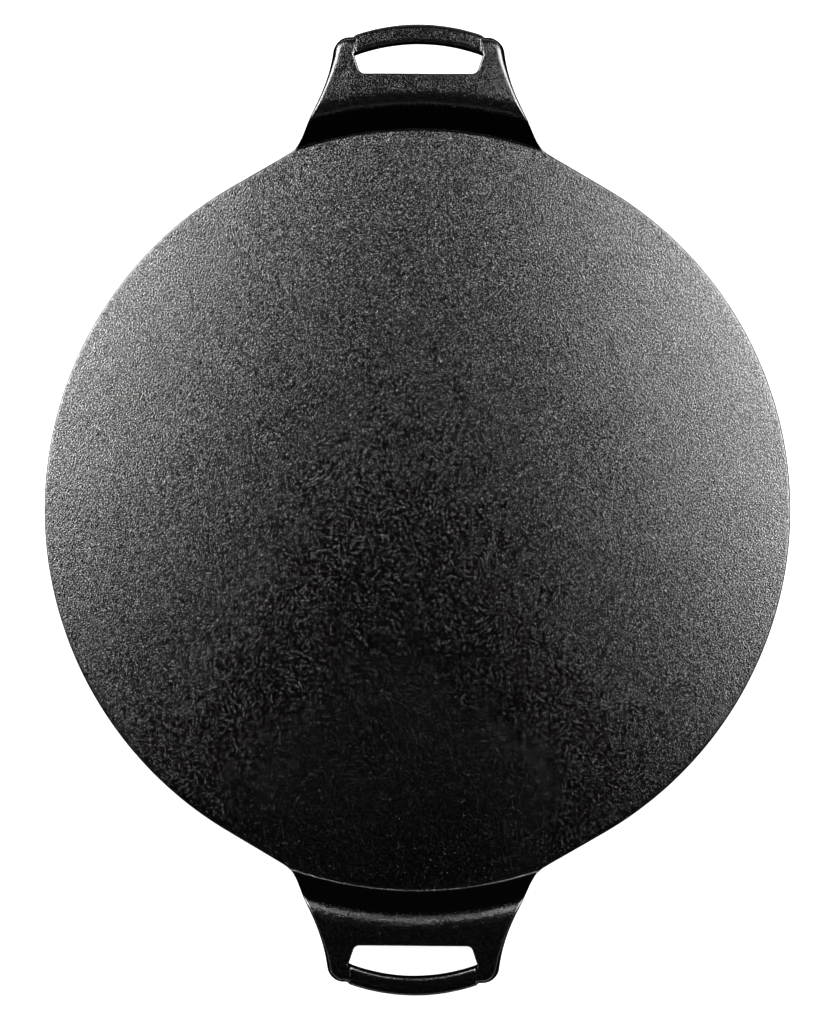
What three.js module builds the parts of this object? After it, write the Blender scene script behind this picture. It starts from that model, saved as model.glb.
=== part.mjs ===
// A cast iron pizza pan: a flat round plate with a raised loop handle at the front and at the back.
// The real pan is one casting with no joints. Its regions are separate solids here, and each meets
// the next across a hairline gap.
// Millimetres, +Z up. The origin is the centre of the underside, and +Y points at the back handle.
import * as THREE from 'three';

// Plate and edges
const plateDiameter = 381;
const castingThickness = 4.8;
const upperRound = 1.7; // of an edge as thick as the plate, and more where the metal is thicker
const lowerRound = 1.2;
const draftAngle = 8; // degrees that every outer edge leans, narrower at the top
const hairline = 0.3; // gap between two regions

// Outline of a handle, seen from above. Each reach is measured outwards from the rim of the plate
const flareAngle = 30.2; // degrees from the middle of the handle to where the outline leaves the rim
const neckHalfWidth = 62.4;
const neckRadius = 21;
const waistReach = 25;
const waistHalfWidth = 45.5;
const waistRadius = 85;
const lugReach = 48.6;
const lugHalfWidth = 42.6;
const lugRadius = 8.5;

// Riser between the plate and the shelf, as a profile that turns about the middle of the plate
const footReach = 2.5;
const footRadius = 1.8;
const riserAngle = 60; // degrees from the plate
const shoulderRadius = 15.5;
const handleRise = 18.7;

// Finger slot
const slotReach = 29.2;
const slotHalfWidth = 29.2;
const slotCornerRadius = 3;
const notchHalfWidth = 35.7; // where the line along the end of the slot runs out at the lugs

// Grip bar between the lugs
const gripReach = 54.5;
const gripOuterRadius = 98;
const gripInnerRadius = 92;
const gripWidth = 9.8;
const gripDrop = 1.2; // below the top of the shelf
const gripSquareness = 3.4; // 2 is a plain ellipse
const lugDepth = 10;

// Black seasoned iron, pebbled on the plate and finer on the handles
const plateFinish = { color: 0x222223, roughness: 0.55, metalness: 0.4 };
const handleFinish = { color: 0x1a1a1b, roughness: 0.45, metalness: 0.4 };

// Facets
const edgeSteps = 3;
const rimSteps = 24; // to a quarter of the plate
const neckSteps = 8;
const acrossSteps = 16;
const footSteps = 3;
const shoulderSteps = 6;
const shelfSteps = 3;
const armSteps = 14;
const gripSteps = 18;
const gripSides = 16;

const plateRadius = plateDiameter / 2;
const draft = Math.tan(THREE.MathUtils.degToRad(draftAngle));
const footStart = plateRadius + footReach;
const riserTurn = THREE.MathUtils.degToRad(riserAngle);
const roundsRise = (footRadius + shoulderRadius) * (1 - Math.cos(riserTurn));
const wallLength = (handleRise - roundsRise) / Math.sin(riserTurn);
const wallRun = wallLength * Math.cos(riserTurn);
const shoulderEnd = footStart + (footRadius + shoulderRadius) * Math.sin(riserTurn) + wallRun;
const shelfTop = castingThickness + handleRise;
const slotLine = plateRadius + slotReach;
const lugLine = plateRadius + lugReach;
const lugTip = Math.hypot(notchHalfWidth, lugLine);

// A path of straight lines whose corners are rounded, with the metal on its left.
// It is read by a number that grows by one along each line or arc, and can be shifted into the metal.
function roundedPath(corners, radii) {
  const pieces = [];
  let from = corners[0];
  for (let k = 1; k < corners.length; k++) {
    const along = corners[k].clone().sub(corners[k - 1]).normalize();
    const left = new THREE.Vector2(-along.y, along.x);
    if (k === corners.length - 1) {
      pieces.push({ from, to: corners[k], left });
      break;
    }
    const next = corners[k + 1].clone().sub(corners[k]).normalize();
    const turn = Math.atan2(along.cross(next), along.dot(next));
    const radius = radii[k - 1];
    const cut = radius * Math.tan(Math.abs(turn) / 2);
    const to = corners[k].clone().addScaledVector(along, -cut);
    const side = Math.sign(turn);
    const centre = to.clone().addScaledVector(left, radius * side);
    const start = Math.atan2(to.y - centre.y, to.x - centre.x);
    pieces.push({ from, to, left }, { centre, radius, side, start, turn });
    from = corners[k].clone().addScaledVector(next, cut);
  }
  return pieces;
}

function pathPoint(path, place, inset) {
  const index = Math.min(Math.floor(place), path.length - 1);
  const piece = path[index];
  const share = place - index;
  if (piece.centre) {
    const angle = piece.start + piece.turn * share;
    const radius = piece.radius - piece.side * inset;
    return new THREE.Vector2(Math.cos(angle), Math.sin(angle)).multiplyScalar(radius).add(piece.centre);
  }
  return piece.from.clone().lerp(piece.to, share).addScaledVector(piece.left, inset);
}

// Where a value that rises from below zero to above it crosses zero.
function crossing(value, from, to) {
  let low = from;
  let high = to;
  const halvings = 40;
  for (let k = 0; k < halvings; k++) {
    const middle = (low + high) / 2;
    if (value(middle) < 0) low = middle;
    else high = middle;
  }
  return (low + high) / 2;
}

// The outline of the quarter with +X and +Y: along the rim, then up the side of the handle and
// round its lug to the middle.
const flareTurn = THREE.MathUtils.degToRad(flareAngle);
const flare = new THREE.Vector2(Math.sin(flareTurn), Math.cos(flareTurn)).multiplyScalar(plateRadius);
const neckY = flare.y + (flare.x - neckHalfWidth) * Math.tan(flareTurn);
const outline = [
  { centre: new THREE.Vector2(), radius: plateRadius, side: 1, start: 0, turn: Math.PI / 2 - flareTurn },
  ...roundedPath(
    [
      flare,
      new THREE.Vector2(neckHalfWidth, neckY),
      new THREE.Vector2(waistHalfWidth, plateRadius + waistReach),
      new THREE.Vector2(lugHalfWidth, lugLine),
      new THREE.Vector2(0, lugLine),
    ],
    [neckRadius, waistRadius, lugRadius],
  ),
];
const outlineLeavesRim = 1;
const outlineLug = outline.length - 2;
const outlineEnd = outline.length;

// The edge of the slot, from the notch at the lug down its end and along the shelf.
const notch = new THREE.Vector2(notchHalfWidth, lugLine);
const slotCorner = new THREE.Vector2(slotHalfWidth, slotLine);
const slotEdge = roundedPath([notch, slotCorner, new THREE.Vector2(0, slotLine)], [slotCornerRadius]);
const slotEnd = slotEdge[0];

function distanceFromSlotEnd(point) {
  return point.clone().sub(slotCorner).dot(slotEnd.left);
}

// The metal is as thick as the plate up to the shoulder, and thickens from there to the lugs.
function depthAt(x, y) {
  const share = THREE.MathUtils.smoothstep(Math.hypot(x, y), shoulderEnd, lugTip);
  return castingThickness + (lugDepth - castingThickness) * share;
}

// A free edge, as places below the top face and inwards from the outline. The lower round and the
// upper round each run from the outermost place to the innermost.
function lowerEdge(depth) {
  return Array.from({ length: edgeSteps + 1 }, (_, k) => {
    const turn = ((1 - k / edgeSteps) * Math.PI) / 2;
    const height = lowerRound * (1 - Math.cos(turn));
    return { below: depth - height, inset: lowerRound * (1 - Math.sin(turn)) };
  });
}

function upperEdge(depth) {
  const radius = (upperRound * depth) / castingThickness;
  const lean = (depth - radius - lowerRound) * draft;
  return Array.from({ length: edgeSteps + 1 }, (_, k) => {
    const turn = ((k / edgeSteps) * Math.PI) / 2;
    return { below: radius * (1 - Math.sin(turn)), inset: lean + radius * (1 - Math.cos(turn)) };
  });
}

function geometryOf(triangles) {
  const positions = new Float32Array(triangles.flatMap((p) => [p.x, p.y, p.z]));
  const geometry = new THREE.BufferGeometry();
  geometry.setAttribute('position', new THREE.BufferAttribute(positions, 3));
  geometry.computeVertexNormals();
  return geometry;
}

// A closed solid through rings of points. cap() gives the triangles that close a ring.
function loft(rings, cap) {
  const triangles = [];
  for (let k = 0; k + 1 < rings.length; k++) {
    const ring = rings[k];
    const next = rings[k + 1];
    for (let i = 0; i < ring.length; i++) {
      const j = (i + 1) % ring.length;
      triangles.push(ring[i], ring[j], next[j], ring[i], next[j], next[i]);
    }
  }
  const first = rings[0];
  const last = rings.at(-1);
  for (const [a, b, c] of cap(first)) triangles.push(first[c], first[b], first[a]);
  for (const [a, b, c] of cap(last)) triangles.push(last[a], last[b], last[c]);
  return geometryOf(triangles);
}

function planCap(ring) {
  return THREE.ShapeUtils.triangulateShape(ring.map((p) => new THREE.Vector2(p.x, p.y)), []);
}

function fanCap(ring) {
  return ring.slice(2).map((_, k) => [0, k + 1, k + 2]);
}

// A closed solid between an upper and a lower grid of points. Columns run along +X, rows along +Y.
function slab(upper, lower) {
  const triangles = [];
  const quad = (a, b, c, d) => triangles.push(a, b, c, a, c, d);
  const lastRow = upper.length - 1;
  const lastColumn = upper[0].length - 1;
  for (let r = 0; r < lastRow; r++) {
    for (let c = 0; c < lastColumn; c++) {
      quad(upper[r][c], upper[r][c + 1], upper[r + 1][c + 1], upper[r + 1][c]);
      quad(lower[r][c], lower[r + 1][c], lower[r + 1][c + 1], lower[r][c + 1]);
    }
    quad(upper[r][0], upper[r + 1][0], lower[r + 1][0], lower[r][0]);
    quad(lower[r][lastColumn], lower[r + 1][lastColumn], upper[r + 1][lastColumn], upper[r][lastColumn]);
  }
  for (let c = 0; c < lastColumn; c++) {
    quad(lower[0][c], lower[0][c + 1], upper[0][c + 1], upper[0][c]);
    quad(upper[lastRow][c], upper[lastRow][c + 1], lower[lastRow][c + 1], lower[lastRow][c]);
  }
  return geometryOf(triangles);
}

function mirrored(point) {
  return point.clone().setX(-point.x);
}

// One row of a slab from edge to edge. row.y() is the curve it follows, row.point() a point on it.
function acrossRow(row, edge, belowAt) {
  const right = edge.map(({ below, inset }) => {
    const ahead = (place) => {
      const p = pathPoint(outline, place, inset);
      return p.y - row.y(p.x, below);
    };
    const place = crossing(ahead, outlineLeavesRim, outlineLug);
    return row.point(pathPoint(outline, place, inset).x, below);
  });
  const inner = right.at(-1).x;
  const middle = [];
  for (let k = 1; k < acrossSteps; k++) {
    const x = inner * ((2 * k) / acrossSteps - 1);
    middle.push(row.point(x, belowAt(x)));
  }
  return [...right.map(mirrored), ...middle, ...right.reverse()];
}

// The plate, a stack of outlines whose free rim is rounded and whose two necks are cut square.
function plateGeometry() {
  const neckArc = footStart - hairline;
  const levels = [...lowerEdge(castingThickness).reverse(), ...upperEdge(castingThickness)];
  const rings = levels.map(({ below, inset }) => {
    const beyondNeck = (place) => pathPoint(outline, place, inset).length() - neckArc;
    const neck = crossing(beyondNeck, outlineLeavesRim, outlineLug);
    const side = [];
    for (let k = 0; k < rimSteps; k++) side.push(pathPoint(outline, k / rimSteps, inset));
    for (let k = 0; k <= neckSteps; k++) {
      const place = outlineLeavesRim + ((neck - outlineLeavesRim) * k) / neckSteps;
      side.push(pathPoint(outline, place, inset));
    }
    const half = [...side];
    const { x, y } = side.at(-1);
    const halfTurn = Math.atan2(x, y);
    for (let k = 1; k < acrossSteps; k++) {
      const angle = halfTurn * (1 - (2 * k) / acrossSteps);
      half.push(new THREE.Vector2(Math.sin(angle), Math.cos(angle)).multiplyScalar(neckArc));
    }
    half.push(...side.slice(1).reverse().map(mirrored));
    const z = castingThickness - below;
    const front = half.map((p) => new THREE.Vector3(-p.x, -p.y, z));
    return [...half.map((p) => new THREE.Vector3(p.x, p.y, z)), ...front];
  });
  return loft(rings, planCap);
}

// Points of the riser's upper profile, each with the angle that the surface leans there.
function riserProfile() {
  const profile = [];
  for (let k = 0; k <= footSteps; k++) {
    const lean = (riserTurn * k) / footSteps;
    const radius = footStart + footRadius * Math.sin(lean);
    profile.push({ radius, z: castingThickness + footRadius * (1 - Math.cos(lean)), lean });
  }
  for (let k = 0; k <= shoulderSteps; k++) {
    const lean = riserTurn * (1 - k / shoulderSteps);
    const radius = shoulderEnd - shoulderRadius * Math.sin(lean);
    profile.push({ radius, z: shelfTop - shoulderRadius * (1 - Math.cos(lean)), lean });
  }
  return profile;
}

function riserGeometry() {
  const rows = riserProfile().map(({ radius, z, lean }) => {
    const y = (x, below) => Math.sqrt((radius + below * Math.sin(lean)) ** 2 - x ** 2);
    const point = (x, below) => new THREE.Vector3(x, y(x, below), z - below * Math.cos(lean));
    return { y, point };
  });
  const upper = rows.map((row) => acrossRow(row, upperEdge(castingThickness), () => 0));
  const lower = rows.map((row) => acrossRow(row, lowerEdge(castingThickness), () => castingThickness));
  return slab(upper, lower);
}

function shelfGeometry() {
  const shelfStart = shoulderEnd + hairline;
  const upper = [];
  const lower = [];
  for (let k = 0; k <= shelfSteps; k++) {
    const share = k / shelfSteps;
    const y = (x) => THREE.MathUtils.lerp(Math.sqrt(shelfStart ** 2 - x ** 2), slotLine, share);
    const point = (x, below) => new THREE.Vector3(x, y(x), shelfTop - below);
    const row = { y, point };
    const edgeX = acrossRow(row, [{ below: 0, inset: 0 }], () => 0).at(-1).x;
    const depth = depthAt(edgeX, y(edgeX));
    upper.push(acrossRow(row, upperEdge(depth), () => 0));
    lower.push(acrossRow(row, lowerEdge(depth), (x) => depthAt(x, y(x))));
  }
  return slab(upper, lower);
}

// The right arm, from the shelf to its lug, as a stack of outlines. Its edge along the slot is
// upright, with a round as deep as the step down to the grip bar.
function armRings() {
  const root = slotLine + hairline;
  const edges = [
    { edge: (depth) => lowerEdge(depth).reverse(), slotDepth: depthAt },
    { edge: upperEdge, slotDepth: () => castingThickness },
  ];
  return edges.flatMap(({ edge, slotDepth }) => Array.from({ length: edgeSteps + 1 }, (_, level) => {
    const outer = (place) => {
      const { x, y } = pathPoint(outline, place, 0);
      const { below, inset } = edge(depthAt(x, y))[level];
      const p = pathPoint(outline, place, inset);
      return new THREE.Vector3(p.x, p.y, shelfTop - below);
    };
    const overRound = Math.max(gripDrop - edge(castingThickness)[level].below, 0);
    const innerInset = gripDrop - Math.sqrt(gripDrop ** 2 - overRound ** 2);
    const start = crossing((place) => outer(place).y - root, outlineLeavesRim, outlineLug);
    const pastEnd = (place) => innerInset - distanceFromSlotEnd(new THREE.Vector2().copy(outer(place)));
    const end = crossing(pastEnd, outlineLug, outlineEnd);
    const ring = [];
    for (let k = 0; k <= armSteps; k++) ring.push(outer(THREE.MathUtils.lerp(start, end, k / armSteps)));
    const tip = ring.at(-1);
    const aboveLine = (y) => (place) => y - pathPoint(slotEdge, place, innerInset).y;
    const slotPlace = (y) => crossing(aboveLine(y), 0, slotEdge.length - 1);
    const slotStart = slotPlace(tip.y);
    const slotStop = slotPlace(root);
    for (let k = 1; k <= armSteps; k++) {
      const place = THREE.MathUtils.lerp(slotStart, slotStop, k / armSteps);
      const { x, y } = pathPoint(slotEdge, place, innerInset);
      ring.push(new THREE.Vector3(x, y, shelfTop - edge(slotDepth(x, y))[level].below));
    }
    return ring;
  }));
}

// The grip bar, a squarish oval that follows two arcs from one lug to the other.
function gripGeometry() {
  const outerCentre = plateRadius + gripReach - gripOuterRadius;
  const innerCentre = plateRadius + gripReach - gripWidth - gripInnerRadius;
  const arcPoint = (centre, radius, angle) =>
    new THREE.Vector2(radius * Math.sin(angle), centre + radius * Math.cos(angle));
  const endAngle = (centre, radius) =>
    crossing((angle) => distanceFromSlotEnd(arcPoint(centre, radius, angle)) + hairline, 0, Math.PI / 2);
  const outerEnd = endAngle(outerCentre, gripOuterRadius);
  const innerEnd = endAngle(innerCentre, gripInnerRadius);
  const halfDepth = (lugDepth - gripDrop) / 2;
  const middleZ = shelfTop - lugDepth + halfDepth;
  const squared = (value) => Math.sign(value) * Math.abs(value) ** (2 / gripSquareness);
  const rings = [];
  for (let k = 0; k <= gripSteps; k++) {
    const share = (2 * k) / gripSteps - 1;
    const inner = arcPoint(innerCentre, gripInnerRadius, innerEnd * share);
    const outer = arcPoint(outerCentre, gripOuterRadius, outerEnd * share);
    const ring = [];
    for (let i = 0; i < gripSides; i++) {
      const angle = (2 * Math.PI * i) / gripSides;
      const p = inner.clone().lerp(outer, (1 + squared(Math.cos(angle))) / 2);
      ring.push(new THREE.Vector3(p.x, p.y, middleZ + halfDepth * squared(Math.sin(angle))));
    }
    rings.push(ring);
  }
  return loft(rings, fanCap);
}

function iron(name, geometry, finish) {
  const mesh = new THREE.Mesh(geometry, new THREE.MeshStandardMaterial(finish));
  mesh.name = name;
  return mesh;
}

// A handle as it lies at the back of the plate, with left and right as seen from the plate.
function handle(name) {
  const region = (part, geometry) => iron(`${name}_${part}`, geometry, handleFinish);
  const right = armRings();
  const left = right.map((ring) => ring.map(mirrored).reverse());
  const group = new THREE.Group();
  group.add(
    region('riser', riserGeometry()),
    region('shelf', shelfGeometry()),
    region('right_arm', loft(right, planCap)),
    region('left_arm', loft(left, planCap)),
    region('grip', gripGeometry()),
  );
  return group;
}

const pan = new THREE.Group();
pan.add(iron('cooking_plate', plateGeometry(), plateFinish));
const backHandle = handle('back_handle');
const frontHandle = handle('front_handle');
frontHandle.rotation.z = Math.PI;
pan.add(backHandle, frontHandle);

export default pan;
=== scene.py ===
# A cast iron pizza pan lying in a plain pale studio, seen from straight above.
# The pan is one seamless casting, built as one skin and cut into the regions of the frame.
import math

import bpy
import numpy as np
from mathutils import Matrix, Vector, noise


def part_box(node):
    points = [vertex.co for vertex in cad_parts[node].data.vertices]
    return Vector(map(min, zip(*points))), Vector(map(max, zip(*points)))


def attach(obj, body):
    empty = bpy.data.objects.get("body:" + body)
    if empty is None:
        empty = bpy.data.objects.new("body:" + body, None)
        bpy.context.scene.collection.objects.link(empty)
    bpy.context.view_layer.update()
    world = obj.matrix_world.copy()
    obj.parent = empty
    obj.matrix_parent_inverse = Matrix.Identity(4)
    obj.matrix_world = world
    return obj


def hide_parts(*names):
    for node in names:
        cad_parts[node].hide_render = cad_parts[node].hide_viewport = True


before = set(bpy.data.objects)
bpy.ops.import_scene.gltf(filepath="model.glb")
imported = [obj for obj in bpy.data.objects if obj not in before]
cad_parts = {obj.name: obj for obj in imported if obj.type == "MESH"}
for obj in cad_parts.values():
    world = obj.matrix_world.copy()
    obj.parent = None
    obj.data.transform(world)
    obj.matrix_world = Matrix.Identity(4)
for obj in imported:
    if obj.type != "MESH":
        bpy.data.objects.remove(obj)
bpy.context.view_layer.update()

MM = 0.001
RIGHT_ANGLE = math.pi / 2

# Sizes that the frame gives
PLATE_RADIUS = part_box("cooking_plate")[1].x
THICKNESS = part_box("cooking_plate")[1].z
SHELF_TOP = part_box("back_handle_shelf")[1].z
RISER_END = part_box("back_handle_riser")[1].y
SLOT_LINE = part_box("back_handle_shelf")[1].y
GRIP_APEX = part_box("back_handle_grip")[1].y
GRIP_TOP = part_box("back_handle_grip")[1].z
LUG_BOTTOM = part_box("back_handle_grip")[0].z

# Edges
RIM_ROUND = 1 * MM
UPPER_ROUND = 1.7 * MM
LOWER_ROUND = 1.2 * MM
SLOT_ROUND = 1.1 * MM
DRAFT = math.tan(math.radians(8))

# Outline of a handle, seen from above, with reaches measured outwards from the rim
FLARE_ANGLE = math.radians(30.2)
NECK_HALF_WIDTH, NECK_RADIUS = 62.4 * MM, 21 * MM
WAIST_HALF_WIDTH, WAIST_REACH, WAIST_RADIUS = 45.5 * MM, 25 * MM, 85 * MM
LUG_HALF_WIDTH, LUG_REACH, LUG_RADIUS = 42.6 * MM, 48.6 * MM, 8.5 * MM

# Riser between the plate and the shelf
FOOT_REACH, FOOT_RADIUS = 2.5 * MM, 1.8 * MM
RISER_ANGLE = math.radians(60)
SHOULDER_RADIUS = 12 * MM

# Finger slot
SLOT_HALF_WIDTH, SLOT_CORNER_RADIUS = 29.2 * MM, 3 * MM
NOTCH_HALF_WIDTH = 35.7 * MM

# Grip bar: a square ellipse in section, which the lugs run into over a short step
GRIP_OUTER_RADIUS, GRIP_INNER_RADIUS, GRIP_WIDTH = 98 * MM, 92 * MM, 9.8 * MM
GRIP_SQUARENESS = 4.2
GRIP_ROUND_TURN = math.radians(75)
STEP_LENGTH = 1.8 * MM

# A sand casting isn't quite true. Its skin sinks a little here and there, fully so above
# WOBBLE_FULL, and on a finer scale from near the plate's rim outwards
COARSE_WOBBLE, COARSE_LENGTH = 0.16 * MM, 24 * MM
FINE_WOBBLE, FINE_LENGTH = 0.08 * MM, 3.5 * MM
WOBBLE_START, WOBBLE_FULL = 0.5 * MM, 2 * MM
FINE_START, FINE_FULL = PLATE_RADIUS - 5 * MM, PLATE_RADIUS - 2 * MM

# The one casting pit, in the top of the back grip
PIT_PLACE, PIT_RADIUS, PIT_DEPTH = (28.5 * MM, 234.2 * MM), 1 * MM, 0.12 * MM
PIT_SLOPE_SHARE = 0.7
PIT_LOWEST = GRIP_TOP - 3 * MM

# Strength of the grain: calmer on the rim, weak below PEBBLE_BOTTOM, in faint clouds on the handles
RIM_CALM, CALM_START, CALM_FULL = 0.2, PLATE_RADIUS - 2.5 * MM, PLATE_RADIUS - 1.5 * MM
UNDERSIDE_PEBBLE, PEBBLE_BOTTOM = 0.4, THICKNESS - 0.3 * MM
CLOUD_LENGTH, CLOUD_SHARE = 7 * MM, 0.2

# Tilts at which the glassy crust of the top begins to give way and is gone, in degrees
RIM_DULL = (15, 38)
SIDE_DULL = (22, 46)

# Mesh density
ROUND_STEPS = 6
TOP_STEPS = 10
SHELF_RAYS = 36
CORNER_RAYS = 8
ARM_RAYS = 26
STEP_RAYS = 6
GRIP_RAYS = 64
RIM_STEPS = 150
NECK_STEPS = 20
FOOT_STEPS, WALL_STEPS, SHOULDER_STEPS = 7, 4, 14
PLATE_RINGS = 22
FIRST_RING_SHARE, RING_POWER = 0.012, 0.9
WELD = 0.001 * MM

# How finely a place on a path is found
HALVINGS = 44
FINE_PLACES = 400
# This much before a corner's place, an inset still follows the line that ends there
JUST_BEFORE = 1e-6

# Sizes that follow from those above
FOOT_START = PLATE_RADIUS + FOOT_REACH
HANDLE_RISE = SHELF_TOP - THICKNESS
ROUNDS_RISE = (FOOT_RADIUS + SHOULDER_RADIUS) * (1 - math.cos(RISER_ANGLE))
WALL_LENGTH = (HANDLE_RISE - ROUNDS_RISE) / math.sin(RISER_ANGLE)
SHOULDER_END = (
    FOOT_START
    + (FOOT_RADIUS + SHOULDER_RADIUS) * math.sin(RISER_ANGLE)
    + WALL_LENGTH * math.cos(RISER_ANGLE)
)
LUG_LINE = PLATE_RADIUS + LUG_REACH
LUG_TIP = math.hypot(NOTCH_HALF_WIDTH, LUG_LINE)
LUG_DEPTH = SHELF_TOP - LUG_BOTTOM
GRIP_DROP = SHELF_TOP - GRIP_TOP


# Paths in plan. The metal is on the left of a path, and an inset moves a point into it
class Line:
    def __init__(self, start, end):
        self.start, self.run = np.array(start), np.array(end) - np.array(start)
        along = self.run / np.linalg.norm(self.run)
        self.left = np.array((-along[1], along[0]))

    def at(self, share, inset):
        return self.start + self.run * share + self.left * inset


class Arc:
    def __init__(self, centre, radius, start, turn):
        self.centre, self.radius, self.start, self.turn = np.array(centre), radius, start, turn

    def at(self, share, inset):
        angle = self.start + self.turn * share
        radius = self.radius - math.copysign(inset, self.turn)
        return self.centre + radius * np.array((math.cos(angle), math.sin(angle)))


def rounded_path(corners, radii):
    """Lines through the corners, with an arc of its radius at each corner between the ends."""
    corners = [np.array(corner) for corner in corners]
    pieces, start = [], corners[0]
    for before, here, after, radius in zip(corners, corners[1:], corners[2:], radii):
        along = (here - before) / np.linalg.norm(here - before)
        onward = (after - here) / np.linalg.norm(after - here)
        turn = math.atan2(along[0] * onward[1] - along[1] * onward[0], along @ onward)
        cut = radius * math.tan(abs(turn) / 2)
        end = here - along * cut
        left = np.array((-along[1], along[0]))
        centre = end + left * math.copysign(radius, turn)
        pieces.append(Line(start, end))
        pieces.append(Arc(centre, radius, math.atan2(*(end - centre)[::-1]), turn))
        start = here + onward * cut
    return pieces + [Line(start, corners[-1])]


def path_point(path, place, inset=0.0):
    """place grows by one along each line or arc of the path."""
    index = min(int(place), len(path) - 1)
    return path[index].at(place - index, inset)


def crossing(value, low, high):
    """Where a value that rises from below zero to above it crosses zero."""
    for _ in range(HALVINGS):
        middle = (low + high) / 2
        low, high = (middle, high) if value(middle) < 0 else (low, middle)
    return (low + high) / 2


def spread(path, first, last, count):
    """Places from first to last, evenly spaced by length."""
    fine = np.linspace(first, last, FINE_PLACES)
    points = np.array([path_point(path, place) for place in fine])
    lengths = np.concatenate(([0], np.cumsum(np.linalg.norm(np.diff(points, axis=0), axis=1))))
    return np.interp(np.linspace(0, lengths[-1], count + 1), lengths, fine)


def smooth_share(value, low, high):
    """0 up to low, 1 from high on, and a smooth rise between them."""
    share = min(max((value - low) / (high - low), 0), 1)
    return share * share * (3 - 2 * share)


# The right half of the back handle's slot, from the middle of the grip to the middle of the shelf
slot_corner = np.array((SLOT_HALF_WIDTH, SLOT_LINE))
notch = np.array((NOTCH_HALF_WIDTH, LUG_LINE))
slot_side = (slot_corner - notch) / np.linalg.norm(slot_corner - notch)
into_arm = np.array((-slot_side[1], slot_side[0]))
inner_centre_y = GRIP_APEX - GRIP_WIDTH - GRIP_INNER_RADIUS


def beyond_slot_side(turn):
    """How far the grip's inner arc has gone into the arm after a turn from its middle."""
    y = inner_centre_y + GRIP_INNER_RADIUS * math.cos(turn)
    return (np.array((GRIP_INNER_RADIUS * math.sin(turn), y)) - slot_corner) @ into_arm


inner_turn = crossing(beyond_slot_side, 0, RIGHT_ANGLE)
inner_arc = Arc((0, inner_centre_y), GRIP_INNER_RADIUS, RIGHT_ANGLE, -inner_turn)
slot_path = [inner_arc] + rounded_path(
    [inner_arc.at(1, 0), slot_corner, (0, SLOT_LINE)], [SLOT_CORNER_RADIUS]
)
SLOT_GRIP_END, SLOT_CORNER_END, SLOT_CORNER_START, SLOT_MIDDLE = 1, 2, 3, 4

# The outline from +X round to the middle of the grip
outer_centre_y = GRIP_APEX - GRIP_OUTER_RADIUS
grip_x = math.sqrt(GRIP_OUTER_RADIUS**2 - (LUG_LINE - outer_centre_y) ** 2)
outer_turn = math.asin(grip_x / GRIP_OUTER_RADIUS)
outer_arc = Arc((0, outer_centre_y), GRIP_OUTER_RADIUS, RIGHT_ANGLE - outer_turn, outer_turn)
flare = PLATE_RADIUS * np.array((math.sin(FLARE_ANGLE), math.cos(FLARE_ANGLE)))
neck_y = flare[1] + (flare[0] - NECK_HALF_WIDTH) * math.tan(FLARE_ANGLE)
outline = (
    [Arc((0, 0), PLATE_RADIUS, 0, RIGHT_ANGLE - FLARE_ANGLE)]
    + rounded_path(
        [
            flare,
            (NECK_HALF_WIDTH, neck_y),
            (WAIST_HALF_WIDTH, PLATE_RADIUS + WAIST_REACH),
            (LUG_HALF_WIDTH, LUG_LINE),
            (grip_x, LUG_LINE),
        ],
        [NECK_RADIUS, WAIST_RADIUS, LUG_RADIUS],
    )
    + [outer_arc]
)
FLARE_PLACE, LUG_PLACE, NOTCH_PLACE = 1, 6, 8


def place_at_radius(radius, inset):
    return crossing(
        lambda place: np.linalg.norm(path_point(outline, place, inset)) - radius, FLARE_PLACE, LUG_PLACE
    )


def place_at_line(y):
    return crossing(lambda place: path_point(outline, place)[1] - y, FLARE_PLACE, LUG_PLACE)


# Edges. Each is a list of (below the top, inset)
def quarter_turns():
    return [k / ROUND_STEPS * RIGHT_ANGLE for k in range(ROUND_STEPS + 1)]


def upper_edge(radius, lean):
    """Up a free edge, from its outermost place to its innermost."""
    return [(radius * (1 - math.sin(t)), lean + radius * (1 - math.cos(t))) for t in quarter_turns()]


def lower_edge(depth, radius=LOWER_ROUND):
    """Down a free edge, from its outermost place to its innermost."""
    return [(depth - radius * (1 - math.sin(t)), radius * (1 - math.cos(t))) for t in quarter_turns()]


def grip_edge(half_width, half_depth):
    """Up one side of the grip's section, from half way."""
    turns = [GRIP_ROUND_TURN * k / ROUND_STEPS for k in range(ROUND_STEPS + 1)]
    bend = 2 / GRIP_SQUARENESS
    return [(half_depth * (1 - math.sin(t) ** bend), half_width * (1 - math.cos(t) ** bend)) for t in turns]


def round_at(depth):
    """The round along an outer edge grows with the depth of the metal."""
    return UPPER_ROUND * depth / THICKNESS


def drafted(depth, radius):
    """How far a side leans in between its lower round and its upper round."""
    return (depth - radius - LOWER_ROUND) * DRAFT


def between(arm, grip, blend):
    return arm + (grip - arm) * blend


def edge_between(arm_edge, grip_side, blend):
    return [(between(a[0], g[0], blend), between(a[1], g[1], blend)) for a, g in zip(arm_edge, grip_side)]


class Casting:
    """Points and faces of the whole pan. Faces belong to regions, and cut faces lie between regions."""

    def __init__(self):
        self.points, self.known, self.faces = [], {}, {}

    def vertex(self, point):
        key = tuple(round(float(c) / WELD) for c in point)
        if key not in self.known:
            self.known[key] = len(self.points)
            self.points.append(tuple(float(c) for c in point))
        return self.known[key]

    def face(self, region, corners, cut=False):
        ids = []
        for corner in corners:
            index = self.vertex(corner)
            if index not in ids:
                ids.append(index)
        if len(ids) > 2:
            self.faces.setdefault(region, []).append((ids, cut))


def mirrored(point):
    return np.array((-point[0], *point[1:]))


def turned_about(points):
    """The same points at the front of the pan: half a turn about Z."""
    return [np.array((-p[0], -p[1], *p[2:])) for p in points]


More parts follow.
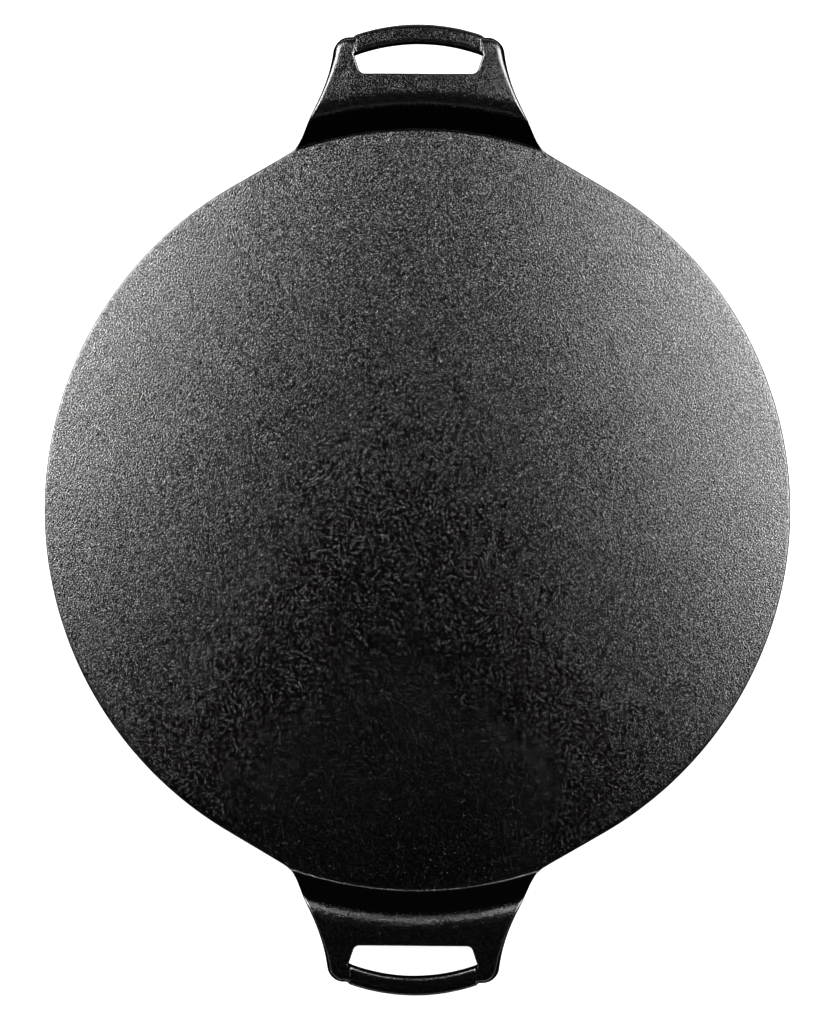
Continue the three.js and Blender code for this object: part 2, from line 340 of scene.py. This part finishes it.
# Riser
def riser_profile():
    """(radius, height, lean) up the top of the riser, where lean is how steep it is."""
    rows = []
    for k in range(FOOT_STEPS + 1):
        lean = RISER_ANGLE * k / FOOT_STEPS
        radius = FOOT_START + FOOT_RADIUS * math.sin(lean)
        rows.append((radius, THICKNESS + FOOT_RADIUS * (1 - math.cos(lean)), lean))
    shoulder = []
    for k in range(SHOULDER_STEPS + 1):
        lean = RISER_ANGLE * (1 - k / SHOULDER_STEPS)
        radius = SHOULDER_END - SHOULDER_RADIUS * math.sin(lean)
        shoulder.append((radius, SHELF_TOP - SHOULDER_RADIUS * (1 - math.cos(lean)), lean))
    foot_top, wall_top = rows[-1], shoulder[0]
    for k in range(1, WALL_STEPS):
        rows.append(tuple(np.array(foot_top) + (np.array(wall_top) - foot_top) * k / WALL_STEPS))
    return rows + shoulder + [(RISER_END, SHELF_TOP, 0)]


def riser_round(radius):
    """The round along the riser's edges grows from the rim's to the handle's."""
    return RIM_ROUND + (UPPER_ROUND - RIM_ROUND) * smooth_share(radius, FOOT_START, SHOULDER_END)


def riser_row(radius, height, lean, edge, below_middle):
    """Points across the riser from its left edge to its right edge."""
    right = []
    for below, inset in edge:
        around = radius + below * math.sin(lean)
        x, y = path_point(outline, place_at_radius(around, inset), inset)
        right.append(np.array((x, y, height - below * math.cos(lean))))
    around = radius + below_middle * math.sin(lean)
    middle = []
    for k in range(1 - SHELF_RAYS, SHELF_RAYS):
        x = right[-1][0] * k / SHELF_RAYS
        middle.append(np.array((x, math.sqrt(around**2 - x**2), height - below_middle * math.cos(lean))))
    return [mirrored(p) for p in right] + middle + right[::-1]


def upper_riser_row(radius, height, lean):
    edge_round = riser_round(radius)
    edge = upper_edge(edge_round, drafted(THICKNESS, edge_round))
    return riser_row(radius, height, lean, edge, 0)


upper_rows = [upper_riser_row(*row) for row in riser_profile()]
lower_rows = [riser_row(*row, lower_edge(THICKNESS), THICKNESS) for row in riser_profile()]


def add_grid(casting, region, upper, lower):
    """A closed slab between two grids of points, with cut faces at its first and last rows."""
    for r in range(len(upper) - 1):
        for c in range(len(upper[0]) - 1):
            casting.face(region, (upper[r][c], upper[r][c + 1], upper[r + 1][c + 1], upper[r + 1][c]))
            casting.face(region, (lower[r][c], lower[r + 1][c], lower[r + 1][c + 1], lower[r][c + 1]))
        casting.face(region, (upper[r][0], upper[r + 1][0], lower[r + 1][0], lower[r][0]))
        casting.face(region, (lower[r][-1], lower[r + 1][-1], upper[r + 1][-1], upper[r][-1]))
    for c in range(len(upper[0]) - 1):
        casting.face(region, (lower[0][c], lower[0][c + 1], upper[0][c + 1], upper[0][c]), True)
        casting.face(region, (upper[-1][c], upper[-1][c + 1], lower[-1][c + 1], lower[-1][c]), True)


# The handle's loop: shelf, arms and grip, as closed sections from the middle of the shelf round
# the right arm to the middle of the grip. A section's blend is 0 in an arm and 1 in the grip
grip_side = grip_edge(GRIP_WIDTH / 2, (GRIP_TOP - LUG_BOTTOM) / 2)
grip_upper = [(below + GRIP_DROP, inset) for below, inset in grip_side]
grip_lower = [(LUG_DEPTH - below, inset) for below, inset in grip_side]
grip_crown = grip_upper[-1][0] - GRIP_DROP
top_shares = [k / TOP_STEPS for k in range(1, TOP_STEPS)]
riser_corner = place_at_radius(RISER_END, 0)
arm_place = place_at_line(SLOT_LINE)
half_corner = (SLOT_CORNER_END + SLOT_CORNER_START) / 2
inner_step = STEP_LENGTH / (GRIP_INNER_RADIUS * abs(inner_arc.turn))
outer_step = STEP_LENGTH / (GRIP_OUTER_RADIUS * outer_arc.turn)


def loop_depth(xy, blend):
    """The metal is as thick as the plate up to the shelf, and thickens from there to the lugs."""
    share = smooth_share(np.linalg.norm(xy), RISER_END, LUG_TIP)
    return between(THICKNESS + (LUG_DEPTH - THICKNESS) * share, LUG_DEPTH, blend)


def below_shelf(xy, below):
    return np.array((xy[0], xy[1], SHELF_TOP - below))


def placed(path, edge):
    """The points of an edge. path gives the point of one place of a path for an inset."""
    return [below_shelf(path(inset), below) for below, inset in edge]


def bowed(height, share):
    """A bow that rises to its height half way along."""
    return height * 4 * share * (1 - share)


def outer_side(path, blend):
    """The upper and the lower half of the outer side, each from the top down."""
    depth = loop_depth(path(0), blend)
    radius = round_at(depth)
    upper = edge_between(upper_edge(radius, drafted(depth, radius)), grip_upper, blend)
    lower = edge_between(lower_edge(depth), grip_lower, blend)
    return placed(path, upper[::-1]), placed(path, lower)


def section(path, sides, blend):
    """Up the slot's edge, across the top, down the outer side and back underneath. path gives a
    point of the slot's path for an inset, and sides are the two halves of the outer side."""
    upper_side, lower_side = sides
    crown = between(0, grip_crown, blend)
    upper = edge_between(upper_edge(SLOT_ROUND, 0), grip_upper, blend)
    lower = edge_between(lower_edge(loop_depth(path(0), blend), SLOT_ROUND), grip_lower, blend)
    points = placed(path, upper)
    start, run = points[-1], upper_side[0] - points[-1]
    points += [start + run * share + np.array((0, 0, bowed(crown, share))) for share in top_shares]
    points += upper_side + lower_side
    start = lower_side[-1][:2]
    run = np.array(path(lower[-1][1])) - start
    for share in top_shares:
        xy = start + run * share
        points.append(below_shelf(xy, loop_depth(xy, blend) + crown * (bowed(1, share) - 1)))
    return points + placed(path, lower[::-1])


def slot_at(place):
    return lambda inset: path_point(slot_path, place, inset)


def outline_at(place, skew=0.0):
    """With a skew of 1 the place moves with the inset as the riser's corner does."""
    def at(inset):
        shift = place_at_radius(RISER_END, inset) - riser_corner if skew else 0
        return path_point(outline, place + skew * shift, inset)
    return at


def shelf_sections():
    """These end at the riser, where each side is one point of the riser's last row."""
    sections = []
    for k in range(SHELF_RAYS):
        column = ROUND_STEPS + SHELF_RAYS + k
        sides = [[rows[-1][column]] * (ROUND_STEPS + 1) for rows in (upper_rows, lower_rows)]
        sections.append(section(slot_at(SLOT_MIDDLE - k / SHELF_RAYS), sides, 0))
    return sections


def corner_sections():
    sections = []
    for k in range(CORNER_RAYS):
        share = k / CORNER_RAYS
        inner = SLOT_CORNER_START + (half_corner - SLOT_CORNER_START) * share
        outer = riser_corner + (arm_place - riser_corner) * share
        sections.append(section(slot_at(inner), outer_side(outline_at(outer, 1 - share), 0), 0))
    return sections


def arm_sections():
    inner_places = spread(slot_path, half_corner, SLOT_GRIP_END, ARM_RAYS)
    outer_places = spread(outline, arm_place, NOTCH_PLACE - JUST_BEFORE, ARM_RAYS)
    places = zip(inner_places, outer_places)
    return [section(slot_at(inner), outer_side(outline_at(outer), 0), 0) for inner, outer in places]


def step_sections():
    """From the lug's section to the grip's."""
    sections = []
    for k in range(1, STEP_RAYS + 1):
        share = k / STEP_RAYS
        blend = smooth_share(share, 0, 1)
        outer = outer_side(outline_at(NOTCH_PLACE + outer_step * share), blend)
        sections.append(section(slot_at(SLOT_GRIP_END - inner_step * share), outer, blend))
    return sections


def grip_sections():
    sections = []
    for k in range(1, GRIP_RAYS + 1):
        share = k / GRIP_RAYS
        inner = (SLOT_GRIP_END - inner_step) * (1 - share)
        outer = NOTCH_PLACE + outer_step + (1 - outer_step) * share
        sections.append(section(slot_at(inner), outer_side(outline_at(outer), 1), 1))
    return sections


right_sections = shelf_sections() + corner_sections() + arm_sections() + step_sections() + grip_sections()
arm_start = SHELF_RAYS + CORNER_RAYS
grip_start = arm_start + ARM_RAYS + STEP_RAYS


def add_sector(casting, region, sections):
    """The part of the loop between its first and its last section, with a cut face at each."""
    first_hidden = ROUND_STEPS + TOP_STEPS
    last_hidden = first_hidden + 2 * ROUND_STEPS + 1
    for here, onward in zip(sections, sections[1:]):
        at_riser = any(np.allclose(s[first_hidden], s[first_hidden + 1]) for s in (here, onward))
        for i in range(len(here)):
            j = (i + 1) % len(here)
            cut = at_riser and first_hidden <= i < last_hidden
            casting.face(region, (here[i], here[j], onward[j], onward[i]), cut)
    casting.face(region, sections[0][::-1], True)
    casting.face(region, sections[-1], True)


def add_handle(casting, name, place):
    """place moves a list of points of the back handle to where this handle is."""
    add_grid(casting, name + "_riser", [place(r) for r in upper_rows], [place(r) for r in lower_rows])
    right = [place(s) for s in right_sections]
    left = [place([mirrored(p) for p in s]) for s in right_sections]
    add_sector(casting, name + "_shelf", left[arm_start:0:-1] + right[: arm_start + 1])
    add_sector(casting, name + "_right_arm", right[arm_start : grip_start + 1])
    add_sector(casting, name + "_left_arm", left[arm_start : grip_start + 1][::-1])
    add_sector(casting, name + "_grip", right[grip_start:] + left[grip_start:-1][::-1])


# Plate
def plate_ring(below, inset):
    """The plate's outline at one depth, closed across each neck where the riser joins."""
    neck_place = place_at_radius(FOOT_START, inset)
    side = [path_point(outline, k / RIM_STEPS, inset) for k in range(RIM_STEPS)]
    side += [
        path_point(outline, FLARE_PLACE + (neck_place - FLARE_PLACE) * k / NECK_STEPS, inset)
        for k in range(NECK_STEPS + 1)
    ]
    half = list(side)
    for k in range(SHELF_RAYS - 1, -SHELF_RAYS, -1):
        x = side[-1][0] * k / SHELF_RAYS
        half.append(np.array((x, math.sqrt(FOOT_START**2 - x**2))))
    half += [mirrored(p) for p in side[:0:-1]]
    height = THICKNESS - below
    return [np.array((*p, height)) for p in half] + [np.array((-p[0], -p[1], height)) for p in half]


def add_rim(casting, rings):
    """The plate's side, with cut faces at the necks."""
    neck_first = RIM_STEPS + NECK_STEPS
    neck_last = neck_first + 2 * SHELF_RAYS
    count = len(rings[0])
    for here, onward in zip(rings, rings[1:]):
        for i in range(count):
            j = (i + 1) % count
            cut = neck_first <= i % (count // 2) < neck_last
            casting.face("cooking_plate", (here[i], here[j], onward[j], onward[i]), cut)


def add_disc(casting, ring, upwards):
    """The plate's top or underside, as rings from its edge to its centre."""
    count = len(ring)
    centre = np.array((0, 0, ring[0][2]))
    steps = [(k / PLATE_RINGS) ** RING_POWER for k in range(PLATE_RINGS)]
    shares = [FIRST_RING_SHARE + (1 - FIRST_RING_SHARE) * step for step in steps]
    inward = [ring] + [[p + (centre - p) * share for p in ring] for share in shares]
    for here, onward in zip(inward, inward[1:]):
        for i in range(count):
            j = (i + 1) % count
            corners = (here[i], here[j], onward[j], onward[i])
            casting.face("cooking_plate", corners if upwards else corners[::-1])
    for i in range(count):
        corners = (inward[-1][i], inward[-1][(i + 1) % count], centre)
        casting.face("cooking_plate", corners if upwards else corners[::-1])


def add_plate(casting):
    side = lower_edge(THICKNESS)[::-1] + upper_edge(RIM_ROUND, drafted(THICKNESS, RIM_ROUND))
    rings = [plate_ring(below, inset) for below, inset in side]
    add_rim(casting, rings)
    add_disc(casting, rings[-1], True)
    add_disc(casting, rings[0], False)


casting = Casting()
add_plate(casting)
add_handle(casting, "back_handle", list)
add_handle(casting, "front_handle", turned_about)


# Skin
def skin_normals(casting, points):
    """A normal for each point, from the faces that show."""
    normals = np.zeros_like(points)
    for faces in casting.faces.values():
        for ids, cut in faces:
            if cut:
                continue
            corners = points[ids]
            area = np.zeros(3)
            for a, b in zip(corners[1:], corners[2:]):
                area += np.cross(a - corners[0], b - corners[0])
            normals[ids] += area
    lengths = np.linalg.norm(normals, axis=1)
    lengths[lengths == 0] = 1
    return normals / lengths[:, None]


def wobble(point):
    """How far a point of the skin is moved along its normal."""
    place = Vector(point)
    upward = smooth_share(point[2], WOBBLE_START, WOBBLE_FULL)
    outward = smooth_share(math.hypot(point[0], point[1]), FINE_START, FINE_FULL)
    coarse = COARSE_WOBBLE * (noise.noise(place / COARSE_LENGTH) - 1) / 2
    fine = FINE_WOBBLE * (noise.noise(place / FINE_LENGTH) - 1) / 2 * outward
    return (coarse + fine) * upward


def pit(point):
    """How far the pit moves a point of the skin along its normal."""
    if point[2] < PIT_LOWEST:
        return 0
    away = math.hypot(point[0] - PIT_PLACE[0], point[1] - PIT_PLACE[1])
    return -PIT_DEPTH * smooth_share(PIT_RADIUS - away, 0, PIT_SLOPE_SHARE * PIT_RADIUS)


true_points = np.array(casting.points)
moves = np.array([wobble(p) + pit(p) for p in true_points])
skin_points = true_points + skin_normals(casting, true_points) * moves[:, None]
skin_points[:, 2] = np.maximum(skin_points[:, 2], 0)
normals = skin_normals(casting, skin_points)


def pebble_at(point):
    """How strongly the grain of the sand shows at a point."""
    x, y, z = point
    radius = math.hypot(x, y)
    if z < PEBBLE_BOTTOM:
        return UNDERSIDE_PEBBLE
    if radius > FOOT_START:
        return 1 + CLOUD_SHARE * noise.noise(Vector(point) / CLOUD_LENGTH)
    if abs(y) > flare[1]:
        return 1
    return 1 - RIM_CALM * smooth_share(radius, CALM_START, CALM_FULL)


def dullness_at(point, normal):
    """0 on a top with its glassy crust, 1 on a dull side or on the underside."""
    tilt = math.degrees(math.acos(max(min(normal[2], 1), -1)))
    on_rim = point[2] < THICKNESS and math.hypot(point[0], point[1]) < FOOT_START
    return smooth_share(tilt, *(RIM_DULL if on_rim else SIDE_DULL))


def add_values(mesh, name, values):
    attribute = mesh.attributes.new(name, "FLOAT", "POINT")
    attribute.data.foreach_set("value", values)


def make_piece(region):
    """The skin of one region, shaded smoothly across its borders and flat on its cut faces."""
    ids = sorted({i for face, _ in casting.faces[region] for i in face})
    local = {index: k for k, index in enumerate(ids)}
    faces = [[local[i] for i in face] for face, _ in casting.faces[region]]
    mesh = bpy.data.meshes.new(region + "_skin")
    mesh.from_pydata([tuple(skin_points[i]) for i in ids], [], faces)
    mesh.polygons.foreach_set("use_smooth", [not cut for _, cut in casting.faces[region]])
    add_values(mesh, "pebble", [pebble_at(casting.points[i]) for i in ids])
    add_values(mesh, "dullness", [dullness_at(skin_points[i], normals[i]) for i in ids])
    loop_normals = []
    for polygon, (face, cut) in zip(mesh.polygons, casting.faces[region]):
        loop_normals += [tuple(polygon.normal) if cut else tuple(normals[i]) for i in face]
    mesh.normals_split_custom_set(loop_normals)
    piece = bpy.data.objects.new(region + "_skin", mesh)
    bpy.context.scene.collection.objects.link(piece)
    return piece


# Nodes
def feed(tree, socket, value):
    """Links an output to a socket, or writes a plain value into it."""
    if isinstance(value, bpy.types.NodeSocket):
        tree.links.new(value, socket)
    else:
        socket.default_value = value


def add_node(tree, kind, inputs, **settings):
    node = tree.nodes.new("ShaderNode" + kind)
    for name, value in settings.items():
        setattr(node, name, value)
    for socket, value in inputs.items():
        feed(tree, node.inputs[socket], value)
    return node


def computed(tree, operation, first, second):
    return add_node(tree, "Math", {0: first, 1: second}, operation=operation).outputs["Value"]


def mapped(tree, value, low, high, to_low, to_high):
    """The value moved from the range low to high onto another range, and held inside it."""
    inputs = {"Value": value, "From Min": low, "From Max": high, "To Min": to_low, "To Max": to_high}
    return add_node(tree, "MapRange", inputs).outputs["Result"]


def mixed(tree, share, first, second):
    return add_node(tree, "Mix", {"Factor": share, "A": first, "B": second}).outputs["Result"]


def vertex_values(tree, name):
    return add_node(tree, "Attribute", {}, attribute_name=name).outputs["Fac"]


def lumps(tree, place, length, turn, detail):
    """Noise from 0 to 1 with lumps of about one length."""
    inputs = {"Vector": place, "Rotation": turn, "Scale": (1 / length,) * 3}
    turned = add_node(tree, "Mapping", inputs).outputs["Vector"]
    return add_node(tree, "TexNoise", {"Vector": turned, "Scale": 1, "Detail": detail}).outputs["Fac"]


# Iron. The grain of the sand is the mean of two noises of nearly one length, turned against each
# other. Its crests stand out sharper than its hollows, and are painted paler as painted glints
IRON_IOR = 3.1
GRAIN_LENGTH_SHARES, GRAIN_TURNS = (1, 1.26), ((0.5, 0.3, 0.7), (1.1, 0.7, 0.2))
GRAIN_DETAIL, GRAIN_CREST = 1, 2
# Base colours: near-black hollows, crests painted paler as painted glints on the grain, and the dull sides
HOLLOW_TONE, CREST_GLINT_TONE, DULL_TONE = 0.0003, 0.05, 0.0012
CREST_GLINT_START, CREST_GLINT_FULL = 0.55, 0.72

# The crust shines more or less from fleck to fleck, and the dull sides don't shine
CRUST_SPECULAR, DULL_SPECULAR = 0.5, 0
DULL_ROUGHNESS, DULL_ROUGHNESS_POWER = 0.5, 6
FLECK_LENGTH, FLECK_TURN, FLECK_DETAIL = 0.6 * MM, (0.2, 0.9, 0.4), 0
FLECK_LOW, FLECK_HIGH = 0.38, 0.62

# The crust gives way in the hollows of the grain first and on its crests last
EDGE_HOLLOW, EDGE_CREST, EDGE_GRAIN = 0.35, 0.65, 0.35
EDGE_SOFTNESS = 0.15


def iron_gloss(tree, place, grain, dullness, fleck_contrast):
    low, high = CRUST_SPECULAR - fleck_contrast, CRUST_SPECULAR + fleck_contrast
    fleck = lumps(tree, place, FLECK_LENGTH, FLECK_TURN, FLECK_DETAIL)
    crust = mapped(tree, fleck, FLECK_LOW, FLECK_HIGH, low, high)
    start = mapped(tree, grain, EDGE_HOLLOW, EDGE_CREST, 0.5 - EDGE_GRAIN, 0.5 + EDGE_GRAIN)
    end = computed(tree, "ADD", start, EDGE_SOFTNESS)
    return mixed(tree, mapped(tree, dullness, start, end, 0, 1), crust, DULL_SPECULAR)


def iron_tone_with_painted_glints(tree, grain, dullness):
    """Nearly black, with painted glints: the crests are painted paler where the crust is."""
    # Painted glints: the grain's crests get a paler tone where the crust is
    crust = mapped(tree, grain, CREST_GLINT_START, CREST_GLINT_FULL, HOLLOW_TONE, CREST_GLINT_TONE)
    return mixed(tree, dullness, crust, DULL_TONE)


def seasoned_iron(name, crust_roughness, grain_length, grain_height, fleck_contrast):
    """Black iron. Its top has a thin glassy crust of oxide and burnt oil, and its sides are dull."""
    material = bpy.data.materials.new(name)
    material.use_nodes = True
    tree = material.node_tree
    place = add_node(tree, "TexCoord", {}).outputs["Object"]
    dullness = vertex_values(tree, "dullness")
    layers = [
        lumps(tree, place, share * grain_length, turn, GRAIN_DETAIL)
        for share, turn in zip(GRAIN_LENGTH_SHARES, GRAIN_TURNS)
    ]
    grain = mixed(tree, 0.5, *layers)
    late = computed(tree, "POWER", dullness, DULL_ROUGHNESS_POWER)
    crest = computed(tree, "POWER", grain, GRAIN_CREST)
    pebble = vertex_values(tree, "pebble")
    bump = add_node(tree, "Bump", {"Distance": grain_height, "Height": crest, "Strength": pebble})
    look = {
        "IOR": IRON_IOR,
        "Roughness": mixed(tree, late, crust_roughness, DULL_ROUGHNESS),
        "Specular IOR Level": iron_gloss(tree, place, grain, dullness, fleck_contrast),
        "Base Color": iron_tone_with_painted_glints(tree, grain, dullness),
        "Normal": bump.outputs["Normal"],
    }
    for socket, value in look.items():
        feed(tree, tree.nodes["Principled BSDF"].inputs[socket], value)
    return material


plate_iron = seasoned_iron(
    "seasoned_plate_iron",
    crust_roughness=0.115,
    grain_length=0.46 * MM,
    grain_height=0.21 * MM,
    fleck_contrast=0.18,
)
handle_iron = seasoned_iron(
    "seasoned_handle_iron",
    crust_roughness=0.15,
    grain_length=0.42 * MM,
    grain_height=0.145 * MM,
    fleck_contrast=0.05,
)

for region in casting.faces:
    piece = make_piece(region)
    on_plate = region == "cooking_plate"
    piece.data.materials.append(plate_iron if on_plate else handle_iron)
    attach(piece, "root")
    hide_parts(region)


# Studio
def pale_paper(name, level, seen_level):
    """Pale and matt to light, and white to the camera and in reflections."""
    material = bpy.data.materials.new(name)
    material.use_nodes = True
    tree = material.node_tree
    shader = tree.nodes["Principled BSDF"]
    look = {"Base Color": (level, level, level, 1), "Roughness": 1, "Specular IOR Level": 0}
    for socket, value in look.items():
        feed(tree, shader.inputs[socket], value)
    rays = add_node(tree, "LightPath", {}).outputs
    seen = rays["Is Camera Ray"]
    for ray in ("Is Glossy Ray", "Is Transmission Ray"):
        seen = computed(tree, "MAXIMUM", seen, rays[ray])
    white = (seen_level, seen_level, seen_level, 1)
    glow = add_node(tree, "Emission", {"Color": white, "Strength": seen})
    both = add_node(tree, "AddShader", {0: shader.outputs["BSDF"], 1: glow.outputs["Emission"]})
    feed(tree, tree.nodes["Material Output"].inputs["Surface"], both.outputs["Shader"])
    return material


FLOOR_RADIUS, FLOOR_SIDES, FLOOR_TOP = 5.0, 48, -0.1 * MM
turns = [2 * math.pi * k / FLOOR_SIDES for k in range(FLOOR_SIDES)]
ring = [(FLOOR_RADIUS * math.cos(t), FLOOR_RADIUS * math.sin(t), FLOOR_TOP) for t in turns]
floor_mesh = bpy.data.meshes.new("studio_floor")
floor_mesh.from_pydata(ring, [], [list(range(FLOOR_SIDES))])
studio_floor = bpy.data.objects.new("studio_floor", floor_mesh)
studio_floor.data.materials.append(pale_paper("pale_paper", level=0.8, seen_level=0.97))
bpy.context.scene.collection.objects.link(studio_floor)


def soft_box(name, place, size, power):
    """A square lamp that faces the middle of the plate."""
    light = bpy.data.lights.new(name, "AREA")
    light.shape = "SQUARE"
    light.size = size
    light.energy = power
    lamp = bpy.data.objects.new(name, light)
    lamp.location = place
    lamp.rotation_euler = (-Vector(place)).to_track_quat("-Z", "Y").to_euler()
    bpy.context.scene.collection.objects.link(lamp)


# Together the two give the plate the level at which a colour renders about as it is written
soft_box("soft_box_right", place=(0.44, 0.20, 0.38), size=0.6, power=4.6)
soft_box("soft_box_left", place=(-0.52, 0.27, 0.50), size=0.6, power=5.7)

# Reflections see a pale skyline, which fades out between two heights of direction
SKYLINE_LEVEL, SKYLINE_LOW, SKYLINE_HIGH = 0.3, 0.2, 0.5


def add_world():
    """Beyond the floor the studio is white to the camera. To the pan it is dark above its skyline."""
    world = bpy.data.worlds.new("studio_world")
    world.use_nodes = True
    tree = world.node_tree
    rays = add_node(tree, "LightPath", {}).outputs
    direction = add_node(tree, "TexCoord", {}).outputs["Generated"]
    height = add_node(tree, "SeparateXYZ", {"Vector": direction}).outputs["Z"]
    skyline = mapped(tree, height, SKYLINE_LOW, SKYLINE_HIGH, SKYLINE_LEVEL, 0)
    in_reflections = computed(tree, "MULTIPLY", rays["Is Glossy Ray"], skyline)
    strength = computed(tree, "MAXIMUM", rays["Is Camera Ray"], in_reflections)
    background = tree.nodes["Background"]
    feed(tree, background.inputs["Color"], (1, 1, 1, 1))
    feed(tree, background.inputs["Strength"], strength)
    bpy.context.scene.world = world


add_world()

# Camera: almost straight above the middle of the plate, with the back handle at the photo's top
PHOTO_LONG_SIDE, FOCAL_PIXELS, SENSOR = 1024, 2936.6, 36
AIM = Vector((-1.3 * MM, -1.25 * MM, 0))
CAMERA_OFFSET = Vector((31.4 * MM, -16.5 * MM, 1.5))
CAMERA_ROLL = math.radians(0.355)
TO_BACK_HANDLE = Vector((0, 1, 0))


def add_camera():
    data = bpy.data.cameras.new("camera")
    data.sensor_width = SENSOR
    data.lens = SENSOR * FOCAL_PIXELS / PHOTO_LONG_SIDE
    camera = bpy.data.objects.new("camera", data)
    toward = -CAMERA_OFFSET.normalized()
    right = toward.cross(TO_BACK_HANDLE).normalized()
    up = right.cross(toward)
    facing = Matrix((right, up, -toward)).transposed().to_4x4()
    place = Matrix.Translation(AIM + CAMERA_OFFSET)
    camera.matrix_world = place @ facing @ Matrix.Rotation(CAMERA_ROLL, 4, "Z")
    bpy.context.scene.collection.objects.link(camera)
    bpy.context.scene.camera = camera


add_camera()
bpy.context.scene.view_settings.view_transform = "Standard"
